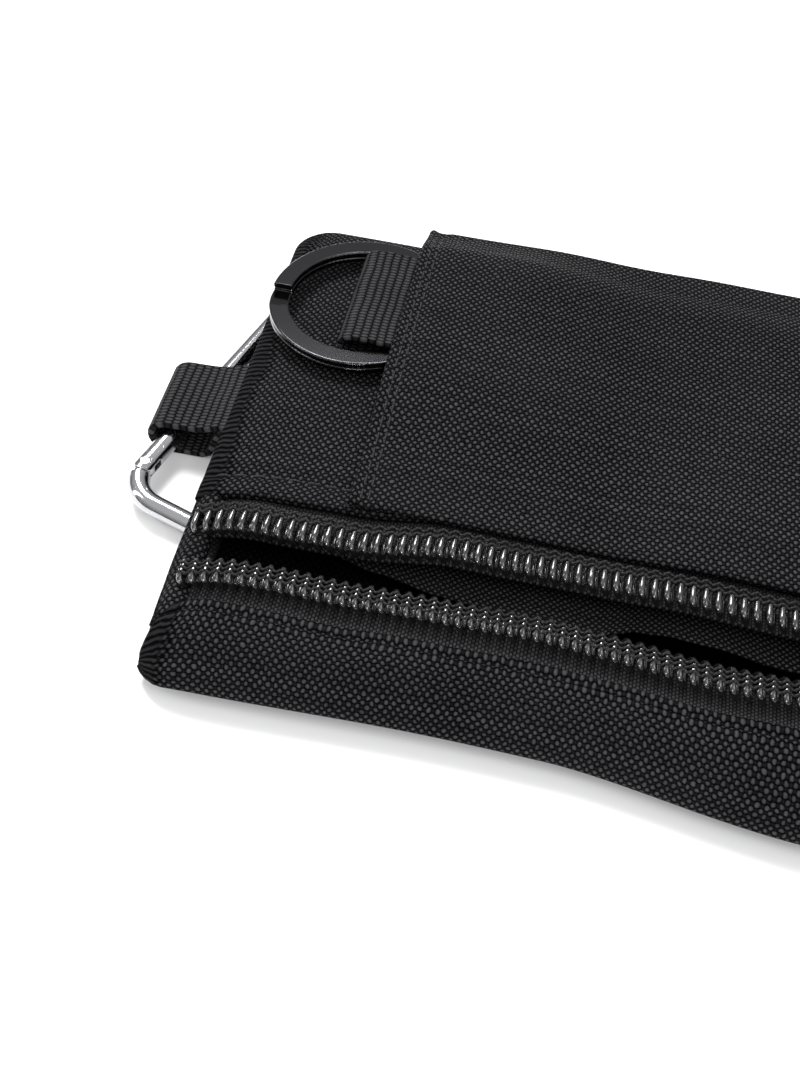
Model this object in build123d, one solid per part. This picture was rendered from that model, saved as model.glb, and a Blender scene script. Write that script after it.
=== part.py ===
from build123d import *
from math import asin, atan2, cos, degrees, pi, sin, radians, sqrt
import os

os.makedirs("parts", exist_ok=True)

# Small zippered pouch lying on its back.  Millimetres, +Z up, table at Z = 0, +X along the zip,
# +Y toward the closed top edge.  The origin is the middle of the face it rests on.

# ---- driving dimensions ------------------------------------------------------------------
LENGTH = 130.0              # side seam to side seam
HEIGHT = 84.0               # bottom fold to top edge
CORNER = 5.0                # plan radius of the corners
FRONT_Z = 10.0              # outside of the front, pouch lightly filled
SEAM_Z = 6.2                # level at which front and back are sewn together
FABRIC = 1.0                # woven shell fabric
TAPE = 0.5                  # zip tape

MOUTH_Y = -25.5             # middle of the open zip
MOUTH_GAP = 4.4             # between the heads of the two coil rows
COIL_W, COIL_H = 3.8, 2.2   # one coil row
COIL_LENGTH = 115.0
HEM_UPPER_Y = -16.4         # folded edge of the fabric above the zip
HEM_LOWER_Y = -34.2         # folded edge of the fabric below the zip

POCKET_LEFT, POCKET_RIGHT = -45.0, 62.0
POCKET_BOTTOM_Y = -15.8
POCKET_Z = 15.4             # outside of the pocket panel
POCKET_FABRIC = 0.9

DIVIDER_Z, DIVIDER_T, DIVIDER_EDGE_Y = 6.0, 0.5, -22.5

WEBBING_T = 0.9             # key ring webbing
WEBBING_W = 19.5
WEBBING_BIGHT_X = -52.5
RING_OD, RING_BAND, RING_T = 27.0, 2.75, 1.8
RING_X, RING_Y, RING_Z = -51.0, 21.0, 11.75
RING_TILT = 2.3             # left side lies lower than the side inside the webbing

LOOP_T, LOOP_W, LOOP_Y = 1.1, 12.7, 3.0     # side loop webbing
LOOP_GAP = 3.6              # clear height inside the loop
LOOP_END_X = -75.9

WIRE = 3.0                  # carabiner bar diameter
GATE_LEAN = 16.0            # gate axis turned from +Y toward +X
GATE_LENGTH = 35.0          # pivot to tip
CARABINER_R = 8.5           # nose curve, on the bar's centre line
CORNER_R = 5.0              # the two curves of its squarer pivot end
PIVOT = (-74.4, -9.2, LOOP_T + 0.25 + WIRE / 2)
SPINE_Z = WIRE / 2 + 0.05   # height of the spine's centre line

SLIDER_L, SLIDER_X = 13.0, 48.5
PLATE_T = 1.3
SLIDER_PLAY = 0.25
HINGE_Z_ABOVE_PLATE = 1.25
PULL_L, PULL_W, PULL_T = 22.0, 7.0, 1.4

COIL_Z = FRONT_Z - FABRIC   # coil rows stand on the tape at this level
PANEL_TOP = POCKET_Z - POCKET_FABRIC


def save(shape, name):
    shape.label = name
    export_step(shape, f"parts/{name}.step")


def block(x0, x1, y0, y1, z0, z1):
    return Pos((x0 + x1) / 2, (y0 + y1) / 2, (z0 + z1) / 2) * Box(x1 - x0, y1 - y0, z1 - z0)


def prism_along_y(points, inset, depth=200):
    face = make_face(Polyline(*points, close=True))
    if inset:
        face = offset(face, -inset, kind=Kind.INTERSECTION)
    return extrude(Plane.XZ * face, depth / 2, both=True)


def prism_along_x(points, inset, depth=300):
    face = make_face(Polyline(*points, close=True))
    if inset:
        face = offset(face, -inset, kind=Kind.INTERSECTION)
    return extrude(Plane.YZ * face, depth / 2, both=True)


# ---- fabric shell ------------------------------------------------------------------------
half_l, half_h = LENGTH / 2, HEIGHT / 2
# The left end is held up a little so the carabiner can lie below it.
LONG_SECTION = [(-half_l, 5.4), (-14, 0), (52, 0), (half_l, 3.2), (half_l, 7.7),
                (56.5, FRONT_Z), (-56.5, FRONT_Z), (-half_l, 7.7)]
CROSS_SECTION = [(-39, 0), (39, 0), (half_h, 2.6), (half_h, 7.4), (34, FRONT_Z),
                 (-35.5, FRONT_Z), (-39.5, 9.0), (-half_h, 6.6), (-half_h, 2.4)]


def pillow(inset):
    plan = RectangleRounded(LENGTH - 2 * inset, HEIGHT - 2 * inset, CORNER - inset)
    return (prism_along_y(LONG_SECTION, inset) & prism_along_x(CROSS_SECTION, inset)
            & extrude(plan, 40, both=True))


outer, inner, under_tape = pillow(0), pillow(FABRIC), pillow(FABRIC + TAPE)
shell = outer - inner
front_half = block(-80, 80, -60, 60, SEAM_Z, 40)

back_panel = shell - front_half
front = shell & front_half
upper_front_panel = front & block(-80, 80, HEM_UPPER_Y, 60, 0, 40)
lower_front_panel = front & block(-80, 80, -60, HEM_LOWER_Y, 0, 40)
between_hems = front & block(-80, 80, HEM_LOWER_Y, HEM_UPPER_Y, 0, 40)
end_tab_left = between_hems & block(-80, -60, -60, 60, 0, 40)
end_tab_right = between_hems & block(60, 80, -60, 60, 0, 40)

# ---- zip tapes, coil rows and their sewing thread -----------------------------------------
tape_layer = (inner - under_tape) & block(-80, 80, -60, 60, 6.75, 40)
head_upper = MOUTH_Y + MOUTH_GAP / 2
head_lower = MOUTH_Y - MOUTH_GAP / 2
zipper_tape_upper = tape_layer & block(-80, 80, head_upper + 0.7, -10, 0, 40)
zipper_tape_lower = tape_layer & block(-80, 80, -37.5, head_lower - 0.7, 0, 40)


def coil_row(head_y, outward):
    row = Pos(0, head_y + outward * COIL_W / 2, COIL_Z + COIL_H / 2) * Box(COIL_LENGTH, COIL_W, COIL_H)
    row = fillet(row.edges().filter_by(Axis.X), 0.8)
    thread_y = head_y + outward * COIL_W * 0.62
    thread = Pos(0, thread_y, COIL_Z + COIL_H + 0.1) * Box(COIL_LENGTH - 1, 0.5, 0.2)
    return row, thread


zipper_coil_upper, coil_thread_upper = coil_row(head_upper, 1)
zipper_coil_lower, coil_thread_lower = coil_row(head_lower, -1)

# ---- inner divider and the bindings on the side seams -------------------------------------
divider_panel = block(-59.5, 59.5, DIVIDER_EDGE_Y, 60, DIVIDER_Z, DIVIDER_Z + DIVIDER_T)
divider_panel += block(-59.5, 59.5, DIVIDER_EDGE_Y, DIVIDER_EDGE_Y + 4, DIVIDER_Z, DIVIDER_Z + 0.8)
divider_panel = divider_panel & inner
tapes = zipper_tape_upper + zipper_tape_lower
seam_binding_left = (block(-64, -59.5, -38, 38, 5.2, 6.9) & inner) - tapes
seam_binding_right = (block(59.5, 64, -38, 38, 5.2, 6.9) & inner) - tapes

# ---- pocket panel: sewn down on three sides, open at the left edge ------------------------
POCKET_LONG = [(-90, 0), (-90, POCKET_Z), (POCKET_RIGHT - 8, POCKET_Z), (POCKET_RIGHT, 8), (POCKET_RIGHT, 0)]
POCKET_CROSS = [(half_h + POCKET_FABRIC, 5.4), (half_h + POCKET_FABRIC, 7.2), (35.5, POCKET_Z),
                (-9.5, POCKET_Z), (POCKET_BOTTOM_Y, 9.0), (POCKET_BOTTOM_Y, 5.4)]
pocket_room = prism_along_y(POCKET_LONG, POCKET_FABRIC) & prism_along_x(POCKET_CROSS, POCKET_FABRIC)
pocket_skin = prism_along_y(POCKET_LONG, 0) & prism_along_x(POCKET_CROSS, 0)
pocket_panel = (pocket_skin - pocket_room - outer) & block(POCKET_LEFT, 80, -60, 60, SEAM_Z, 40)
pocket_panel = pocket_panel.solids().sort_by(SortBy.VOLUME)[-1]

# ---- topstitching ------------------------------------------------------------------------
STITCH_W, STITCH_H = 0.5, 0.25
pocket_hem_stitch = block(POCKET_LEFT + 1.6, POCKET_LEFT + 1.6 + STITCH_W, -8, 34, POCKET_Z, POCKET_Z + STITCH_H)
hem_stitch_y = HEM_UPPER_Y + 3.7
upper_hem_stitch = block(-56, 50, hem_stitch_y, hem_stitch_y + STITCH_W, FRONT_Z, FRONT_Z + STITCH_H)


# ---- webbing -----------------------------------------------------------------------------
def strip(points, thickness, width, y):
    """Webbing whose centre line runs through the (x, z) points, rounded at every bend."""
    pieces = []
    for (x0, z0), (x1, z1) in zip(points, points[1:]):
        run = Box(sqrt((x1 - x0) ** 2 + (z1 - z0) ** 2), width, thickness)
        pieces.append(Pos((x0 + x1) / 2, y, (z0 + z1) / 2) * Rot(0, -degrees(atan2(z1 - z0, x1 - x0)), 0) * run)
    for x, z in points[1:-1]:
        pieces.append(Pos(x, y, z) * Rot(90, 0, 0) * Cylinder(thickness / 2, width))
    return pieces[0] + pieces[1:]


def bight(x, z, radius, steps=6):
    """Half circle of points opening toward +X, from its lower end to its upper end."""
    return [(x - radius * sin(pi * i / steps), z - radius * cos(pi * i / steps)) for i in range(steps + 1)]


upper_layer_z = PANEL_TOP - 0.25 - WEBBING_T / 2
lower_layer_z = FRONT_Z + WEBBING_T / 2
stacked_z = lower_layer_z + WEBBING_T + 0.05
bight_r = (upper_layer_z - lower_layer_z) / 2
bight_x = WEBBING_BIGHT_X + WEBBING_T / 2 + bight_r
ring_webbing = strip([(-26, lower_layer_z), *bight(bight_x, lower_layer_z + bight_r, bight_r),
                      (-35.5, upper_layer_z), (-31, stacked_z), (-26, stacked_z)],
                     WEBBING_T, WEBBING_W, RING_Y)
tack_z = stacked_z + WEBBING_T / 2
webbing_tack = block(-28.6, -27.2, RING_Y - WEBBING_W / 2 + 1, RING_Y + WEBBING_W / 2 - 1, tack_z, tack_z + STITCH_H)

loop_low, loop_high = LOOP_T / 2, LOOP_T * 1.5 + LOOP_GAP
loop_r = (loop_high - loop_low) / 2
side_webbing = strip([(-63.6, 5.85), (-65.4, 5.5), (-67.0, loop_low),
                      *bight(LOOP_END_X + LOOP_T / 2 + loop_r, loop_low + loop_r, loop_r),
                      (-67.6, loop_high), (-65.1, 6.98), (-63.6, 6.98)],
                     LOOP_T, LOOP_W, LOOP_Y)

# The side loop is sewn into the seam, so the panels and the binding are open where it passes.
back_panel -= side_webbing
upper_front_panel -= side_webbing
seam_binding_left -= side_webbing

# ---- split ring: two turns of flat wire joined by one rising step -------------------------
ring_place = Pos(RING_X, RING_Y, RING_Z) * Rot(0, -RING_TILT, 0)
turn_t = (RING_T - 0.06) / 2
turn_rise = RING_T - turn_t
band_r = (RING_OD - RING_BAND) / 2
STEP_START, STEP_SWEEP = 176.0, 22.0
band = RectangleRounded(RING_BAND, turn_t, 0.2)
lower_turn = revolve(Plane.XZ * (Pos(band_r, -turn_rise / 2) * band), Axis.Z, 360 - STEP_SWEEP)
upper_turn = Pos(0, 0, turn_rise) * lower_turn
turns = Rot(0, 0, STEP_START + STEP_SWEEP) * (lower_turn + upper_turn)
step_path = Pos(0, 0, -turn_rise / 2) * Helix(turn_rise * 360 / STEP_SWEEP, turn_rise, band_r)
step = Rot(0, 0, STEP_START) * sweep(Plane.XZ * (Pos(band_r, -turn_rise / 2) * band), path=step_path, normal=(0, 0, 1))
split_ring = ring_place * (turns + step)

# ---- carabiner: round bar, gate through the side loop, spine below the pouch ---------------
# Drawn with the gate along +Y from its pivot and the spine on the +X side, then laid in place.
lean_down = degrees(asin((PIVOT[2] - SPINE_Z) / (2 * CARABINER_R)))
carabiner_place = Pos(*PIVOT) * Rot(0, 0, -GATE_LEAN) * Rot(0, lean_down, 0)
bar_r = WIRE / 2
PIN_R, LUG_T, SLOT_W = 0.6, 1.1, 1.35


def bar_along_y(y0, y1, radius=bar_r):
    return Pos(0, (y0 + y1) / 2, 0) * Rot(90, 0, 0) * Cylinder(radius, y1 - y0)


gate = bar_along_y(0, GATE_LENGTH)
gate += bar_along_y(-bar_r, 0) & Cylinder(bar_r, 10)
gate -= block(-5, 5, -5, 1.75, -SLOT_W / 2, SLOT_W / 2)
gate -= Cylinder(PIN_R, 10)
gate -= bar_along_y(1.7, 9.0, 0.75)
gate -= block(-5, -0.45, GATE_LENGTH - 2.6, GATE_LENGTH + 1, -0.8, 0.8)
gate = chamfer(gate.edges().filter_by(GeomType.CIRCLE).sort_by(Axis.Y)[-1], 0.2)
carabiner_gate = carabiner_place * gate
gate_pin = carabiner_place * Cylinder(PIN_R, 2.7)
spring_coil = sweep(Plane.XZ * (Pos(0.5, 0) * Circle(0.13)), path=Helix(0.6, 6.0, 0.5), normal=(0, 0, 1))
gate_spring = carabiner_place * Pos(0, 2.3, 0) * Rot(-90, 0, 0) * spring_coil

nose_y = GATE_LENGTH + 0.3
shoulder = radians(21)
R = CARABINER_R
bar_line = Wire([
    CenterArc((CORNER_R, 0), CORNER_R, 180 + 21, 69).edge(),
    Line((CORNER_R, -CORNER_R), (2 * R - CORNER_R, -CORNER_R)).edge(),
    CenterArc((2 * R - CORNER_R, 0), CORNER_R, 270, 90).edge(),
    Line((2 * R, 0), (2 * R, nose_y)).edge(),
    CenterArc((R, nose_y), R, 0, 180).edge(),
])
bar_start = (CORNER_R - CORNER_R * cos(shoulder), -CORNER_R * sin(shoulder), 0)
bar_plane = Plane(origin=bar_start, x_dir=(0, 0, 1), z_dir=(sin(shoulder), -cos(shoulder), 0))
hook = sweep(bar_plane * Circle(bar_r), path=bar_line)
nose_tongue = block(-1.28, -0.7, nose_y - 2.6, nose_y + 0.6, -0.62, 0.62)
lug = Cylinder(1.35, LUG_T) + block(-1.1, 1.25, -2.1, 0, -LUG_T / 2, LUG_T / 2)
carabiner_body = carabiner_place * (hook + nose_tongue + (lug - Cylinder(PIN_R + 0.05, 10)))

# ---- slider, its bail and the pull ---------------------------------------------------------
plate_low = COIL_Z + COIL_H + SLIDER_PLAY
plate_high = plate_low + PLATE_T
under_high = COIL_Z - TAPE - SLIDER_PLAY
row_out = MOUTH_GAP / 2 + COIL_W + SLIDER_PLAY
slider_w = 2 * (row_out + 1.2)
place = Pos(SLIDER_X, MOUTH_Y, 0)


def slider_plate(z0, z1):
    plate = Pos(0, 0, (z0 + z1) / 2) * Box(SLIDER_L, slider_w, z1 - z0)
    return fillet(plate.edges().filter_by(Axis.Z), 3.0)


top_plate = slider_plate(plate_low, plate_high)
top_plate = fillet(top_plate.faces().sort_by(Axis.Z)[-1].edges(), 0.5)
slider = top_plate + slider_plate(under_high - 1.2, under_high)
post = Pos(-2.5, 0, (under_high + plate_low) / 2) * Box(6, 3.8, plate_low - under_high + 0.4)
slider += fillet(post.edges().filter_by(Axis.Z), 1.2)
for side in (-1, 1):
    flange_y = side * (row_out + 0.6)
    slider += Pos(0, flange_y, (COIL_Z + SLIDER_PLAY + plate_low + 0.2) / 2) * Box(
        SLIDER_L - 5.6, 1.2, plate_low + 0.2 - COIL_Z - SLIDER_PLAY)
slider_body = place * slider

hinge_x = -3.0
hinge_z = plate_high + HINGE_Z_ABOVE_PLATE
bail_foot = Pos(hinge_x, 0, (plate_high + hinge_z) / 2) * Box(3.2, 2.0, hinge_z - plate_high)
bail = bail_foot + Pos(hinge_x, 0, hinge_z) * Rot(90, 0, 0) * Cylinder(1.6, 2.0)
bail += Pos(hinge_x + 3.4, 0, plate_high + 0.2) * Box(4.4, 2.0, 0.4)
bail &= block(-20, 20, -5, 5, plate_high, 30)
bail -= Pos(hinge_x, 0, hinge_z) * Rot(90, 0, 0) * Cylinder(0.75, 10)
slider_bail = place * bail

pull = Pos(-PULL_L / 2 + 0.7, 0, 0) * Box(PULL_L, PULL_W, PULL_T)
pull = fillet(pull.edges().filter_by(Axis.Z).sort_by(Axis.X)[:2], 3.0)
pull = fillet(pull.edges().filter_by(Axis.Z).sort_by(Axis.X)[-2:], 0.65)
pull -= block(-3.1, 2, -1.2, 1.2, -3, 3)
pull += Rot(90, 0, 0) * Cylinder(0.69, 3.0)
pull -= Pos(-PULL_L + 5.4, 0, 0) * Cylinder(1.6, 5)
pull = fillet(pull.faces().filter_by(Axis.Z).edges().filter_by(GeomType.LINE).filter_by(Axis.X).group_by(SortBy.LENGTH)[-1], 0.3)
pull_tab = place * Pos(hinge_x, 0, hinge_z) * pull

# ---- one file per piece --------------------------------------------------------------------
PIECES = {
    "back_panel": back_panel,
    "upper_front_panel": upper_front_panel,
    "lower_front_panel": lower_front_panel,
    "pocket_panel": pocket_panel,
    "divider_panel": divider_panel,
    "end_tab_left": end_tab_left,
    "end_tab_right": end_tab_right,
    "seam_binding_left": seam_binding_left,
    "seam_binding_right": seam_binding_right,
    "zipper_tape_upper": zipper_tape_upper,
    "zipper_tape_lower": zipper_tape_lower,
    "zipper_coil_upper": zipper_coil_upper,
    "zipper_coil_lower": zipper_coil_lower,
    "coil_thread_upper": coil_thread_upper,
    "coil_thread_lower": coil_thread_lower,
    "upper_hem_stitch": upper_hem_stitch,
    "pocket_hem_stitch": pocket_hem_stitch,
    "ring_webbing": ring_webbing,
    "webbing_tack": webbing_tack,
    "side_webbing": side_webbing,
    "split_ring": split_ring,
    "carabiner_gate": carabiner_gate,
    "gate_pin": gate_pin,
    "gate_spring": gate_spring,
    "carabiner_body": carabiner_body,
    "slider_body": slider_body,
    "slider_bail": slider_bail,
    "pull_tab": pull_tab,
}
for name, shape in PIECES.items():
    save(shape, name)
    box = shape.bounding_box()
    print(f"{name:20s} solids {len(shape.solids())}  {shape.volume:9.1f} mm3  "
          f"x {box.min.X:.2f}..{box.max.X:.2f}  y {box.min.Y:.2f}..{box.max.Y:.2f}  "
          f"z {box.min.Z:.2f}..{box.max.Z:.2f}")
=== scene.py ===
import math
import random
import bpy
from mathutils import Matrix, Vector


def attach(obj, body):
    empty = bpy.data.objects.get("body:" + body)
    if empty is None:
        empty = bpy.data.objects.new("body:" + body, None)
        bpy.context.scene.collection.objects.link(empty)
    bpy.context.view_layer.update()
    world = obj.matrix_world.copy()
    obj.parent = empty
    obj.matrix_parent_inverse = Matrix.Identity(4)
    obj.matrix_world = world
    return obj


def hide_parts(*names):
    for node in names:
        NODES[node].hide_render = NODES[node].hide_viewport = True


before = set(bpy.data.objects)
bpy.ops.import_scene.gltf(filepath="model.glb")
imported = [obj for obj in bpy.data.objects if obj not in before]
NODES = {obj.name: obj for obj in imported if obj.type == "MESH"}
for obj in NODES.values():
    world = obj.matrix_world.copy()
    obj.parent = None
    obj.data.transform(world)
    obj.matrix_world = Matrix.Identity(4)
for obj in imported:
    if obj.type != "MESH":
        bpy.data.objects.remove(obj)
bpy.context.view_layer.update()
RNG = random.Random(7)
MM = 0.001
UV = "weave"

# ---------------------------------------------------------------- sizes, millimetres
HALF_L, HALF_H = 65.0, 42.0
HEM_UP, HEM_LOW = -16.4, -34.2
MOUTH_Y, HEAD_GAP = -25.5, 4.4
COIL_W, COIL_H, PITCH = 4.4, 2.7, 1.55
COIL_Z = 9.0
POCKET_X, POCKET_Y, POCKET_END = -45.0, -15.8, 62.0
FOLD_R = 0.6                  # radius of every turned hem
STITCH_UP = HEM_UP + 3.7      # line of stitches along the hem above the zip
WIRE_R = 0.42                 # coil filament
TURNS = 82                    # loops in each coil row


def clamp(t, a=0.0, b=1.0):
    return a if t < a else b if t > b else t


def smooth(a, b, x):
    t = clamp((x - a) / (b - a))
    return t * t * (3 - 2 * t)


def lerp(a, b, t):
    return a + (b - a) * t


def table(points, x):
    """Smooth interpolation through (x, value) pairs."""
    if x <= points[0][0]:
        return points[0][1]
    for (x0, v0), (x1, v1) in zip(points, points[1:]):
        if x <= x1:
            return lerp(v0, v1, smooth(x0, x1, x))
    return points[-1][1]


def waves(x, y, seed, scale=1.0):
    """Gentle unevenness of handled cloth, about -1..1."""
    r = random.Random(seed)
    total = 0.0
    for k in range(5):
        a = r.uniform(0, math.tau)
        f = r.uniform(0.5, 1.6) / (14.0 * scale)
        total += math.sin((x * math.cos(a) + y * math.sin(a)) * f * math.tau / 2 + r.uniform(0, math.tau))
    return total / 3.2


# ---------------------------------------------------------------- mesh helpers
def mesh_object(name, verts, faces, uvs):
    me = bpy.data.meshes.new(name)
    me.from_pydata([(x * MM, y * MM, z * MM) for x, y, z in verts], [], faces)
    layer = me.uv_layers.new(name=UV)
    for loop in me.loops:
        layer.data[loop.index].uv = uvs[loop.vertex_index]
    me.polygons.foreach_set("use_smooth", [True] * len(me.polygons))
    me.update()
    ob = bpy.data.objects.new(name, me)
    bpy.context.scene.collection.objects.link(ob)
    return ob


def grid(name, points, uvs):
    """points[i][j] in mm, uvs[i][j] in mm."""
    rows, cols = len(points), len(points[0])
    verts = [p for row in points for p in row]
    flat_uv = [q for row in uvs for q in row]
    faces = []
    for i in range(rows - 1):
        for j in range(cols - 1):
            a = i * cols + j
            faces.append((a, a + 1, a + 1 + cols, a + cols))
    return mesh_object(name, verts, faces, flat_uv)


def thicken(ob, thickness, offset=-1.0):
    mod = ob.modifiers.new("thickness", "SOLIDIFY")
    mod.thickness = thickness * MM
    mod.offset = offset
    mod.use_even_offset = False
    return mod


def dress(ob, material, body="pouch", replaces=()):
    ob.data.materials.append(material)
    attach(ob, body)
    if replaces:
        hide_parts(*replaces)
    return ob


def tube(name, path, radius, sides):
    """Round tube along path points in mm, one object."""
    verts, faces, uvs = [], [], []
    add_tube(verts, faces, uvs, path, radius, sides)
    return mesh_object(name, verts, faces, uvs)


def add_tube(verts, faces, uvs, path, radius, sides):
    """Appends a round, capped tube along path points in mm to the lists of a mesh."""
    pts = [Vector(p) for p in path]
    base, run = len(verts), 0.0
    frame_n = None
    for i, p in enumerate(pts):
        t = (pts[min(i + 1, len(pts) - 1)] - pts[max(i - 1, 0)]).normalized()
        if frame_n is None:
            n = t.cross(Vector((0, 0, 1)))
            frame_n = n.normalized() if n.length > 1e-6 else t.orthogonal().normalized()
        frame_n = (frame_n - t * frame_n.dot(t)).normalized()
        b = t.cross(frame_n)
        if i:
            run += (p - pts[i - 1]).length
        for k in range(sides):
            a = math.tau * k / sides
            q = p + frame_n * (radius * math.cos(a)) + b * (radius * math.sin(a))
            verts.append(tuple(q))
            uvs.append((run, k / sides * math.tau * radius))
    for i in range(len(pts) - 1):
        for k in range(sides):
            a, b_ = base + i * sides + k, base + i * sides + (k + 1) % sides
            faces.append((a, b_, b_ + sides, a + sides))
    faces.append(tuple(base + k for k in reversed(range(sides))))
    last = base + (len(pts) - 1) * sides
    faces.append(tuple(last + k for k in range(sides)))


# ---------------------------------------------------------------- node helpers
class Shade:
    def __init__(self, name):
        self.m = bpy.data.materials.new(name)
        self.m.use_nodes = True
        self.t = self.m.node_tree
        self.t.nodes.clear()
        self.out = self.t.nodes.new("ShaderNodeOutputMaterial")
        self.b = self.t.nodes.new("ShaderNodeBsdfPrincipled")
        self.t.links.new(self.b.outputs[0], self.out.inputs[0])

    def node(self, kind, **props):
        n = self.t.nodes.new(kind)
        for k, v in props.items():
            setattr(n, k, v)
        return n

    def put(self, socket, value):
        if isinstance(value, bpy.types.NodeSocket):
            self.t.links.new(value, socket)
        elif value is not None:
            socket.default_value = value

    def math(self, op, a, b=None, c=None, clamp_it=False):
        n = self.node("ShaderNodeMath", operation=op, use_clamp=clamp_it)
        for i, v in enumerate((a, b, c)):
            if v is not None:
                self.put(n.inputs[i], v)
        return n.outputs[0]

    def mix(self, f, a, b):
        n = self.node("ShaderNodeMix", data_type="RGBA")
        self.put(n.inputs["Factor"], f)
        self.put(n.inputs[6], a)
        self.put(n.inputs[7], b)
        return n.outputs[2]

    def uv(self):
        n = self.node("ShaderNodeUVMap", uv_map=UV)
        s = self.node("ShaderNodeSeparateXYZ")
        self.t.links.new(n.outputs[0], s.inputs[0])
        return s.outputs[0], s.outputs[1]

    def object_xyz(self):
        n = self.node("ShaderNodeTexCoord")
        return n.outputs["Object"]

    def vector(self, x, y, z=0.0):
        n = self.node("ShaderNodeCombineXYZ")
        self.put(n.inputs[0], x)
        self.put(n.inputs[1], y)
        self.put(n.inputs[2], z)
        return n.outputs[0]

    def scaled(self, x, x_gain, y, y_gain, z=0.0):
        return self.vector(self.math("MULTIPLY", x, x_gain), self.math("MULTIPLY", y, y_gain), z)

    def centred(self, value, gain):
        """(value - 0.5) * gain"""
        return self.math("MULTIPLY", self.math("SUBTRACT", value, 0.5), gain)

    def noise(self, vec, scale, detail=2.0, rough=0.5):
        n = self.node("ShaderNodeTexNoise")
        self.put(n.inputs["Vector"], vec)
        n.inputs["Scale"].default_value = scale
        n.inputs["Detail"].default_value = detail
        n.inputs["Roughness"].default_value = rough
        return n.outputs[0]

    def bump(self, height, distance, strength=1.0, normal=None):
        n = self.node("ShaderNodeBump")
        n.inputs["Strength"].default_value = strength
        n.inputs["Distance"].default_value = distance
        self.put(n.inputs["Height"], height)
        if normal is not None:
            self.put(n.inputs["Normal"], normal)
        return n.outputs[0]

    def ramp(self, fac, stops):
        n = self.node("ShaderNodeValToRGB")
        el = n.color_ramp.elements
        while len(el) < len(stops):
            el.new(0.5)
        for e, (pos, col) in zip(el, stops):
            e.position = pos
            e.color = (*col, 1.0)
        self.put(n.inputs[0], fac)
        return n.outputs[0]

    def set(self, **kw):
        names = {"rough": "Roughness", "metal": "Metallic", "spec": "Specular IOR Level",
                 "sheen": "Sheen Weight", "sheen_rough": "Sheen Roughness", "coat": "Coat Weight",
                 "coat_rough": "Coat Roughness", "color": "Base Color", "normal": "Normal"}
        for k, v in kw.items():
            self.put(self.b.inputs[names[k]], v)
        return self


CLOTH_SHEEN, WEAVE_SPEC, RIB_SPEC = 0.002, 0.02, 0.04
WANDER = 1.4       # how many yarns a line drifts aside over about a centimetre
JOG = 0.9          # the same over about a millimetre
CRIMP = 0.55       # how far a yarn rises and dips, in the units of the weave height
WARP_PAINTED_LIGHT = 0.35   # painted shade: brightness of the warp against the weft, painted darker because it catches less of the light
WEFT_OVER = 0.22   # how far the weft stands over the warp, in the same units


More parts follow.
